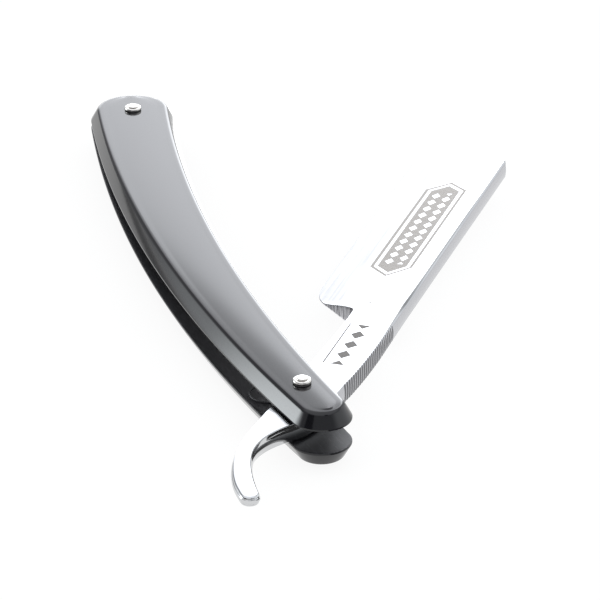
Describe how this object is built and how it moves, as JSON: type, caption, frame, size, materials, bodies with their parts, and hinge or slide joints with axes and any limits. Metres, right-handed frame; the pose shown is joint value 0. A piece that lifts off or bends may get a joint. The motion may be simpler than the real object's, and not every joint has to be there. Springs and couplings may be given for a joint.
{
  "type": "straight razor",
  "caption": "Folding straight razor: hollow-ground steel blade with a square nose and curved tail, pivoting between two bowed black scales.",
  "frame": {"origin": "centre of the flat lower end of the pivot pin, which the razor lies on", "axes": "+Z along the pivot pin, from the lower scale to the upper; +Y from the pivot pin to the wedge pin; the blade is drawn part open, turned clockwise from +Y seen from above"},
  "size_m": [0.088, 0.1746, 0.0135],
  "materials": {
    "polished_steel": "mirror-polished hollow-ground carbon steel",
    "black_scale": "buffed gloss black plastic",
    "black_spacer": "moulded black plastic",
    "nickel_silver": "polished nickel silver",
    "washer_brass": "plain rolled brass"
  },
  "bodies": {
    "handle": {"upper_scale": "black_scale", "lower_scale": "black_scale", "wedge_spacer": "black_spacer", "pivot_pin": "nickel_silver", "wedge_pin": "nickel_silver", "upper_pivot_collar": "nickel_silver", "lower_pivot_collar": "nickel_silver", "upper_wedge_collar": "nickel_silver", "lower_wedge_collar": "nickel_silver", "upper_pivot_washer": "washer_brass", "lower_pivot_washer": "washer_brass"},
    "blade": {"blade": "polished_steel"}
  },
  "joints": [
    {"name": "blade_pivot", "type": "hinge", "parent": "handle", "child": "blade", "pos_m": [0, 0, 0.00673], "axis": [0, 0, 1], "range_deg": [-300, 31]}
  ]
}
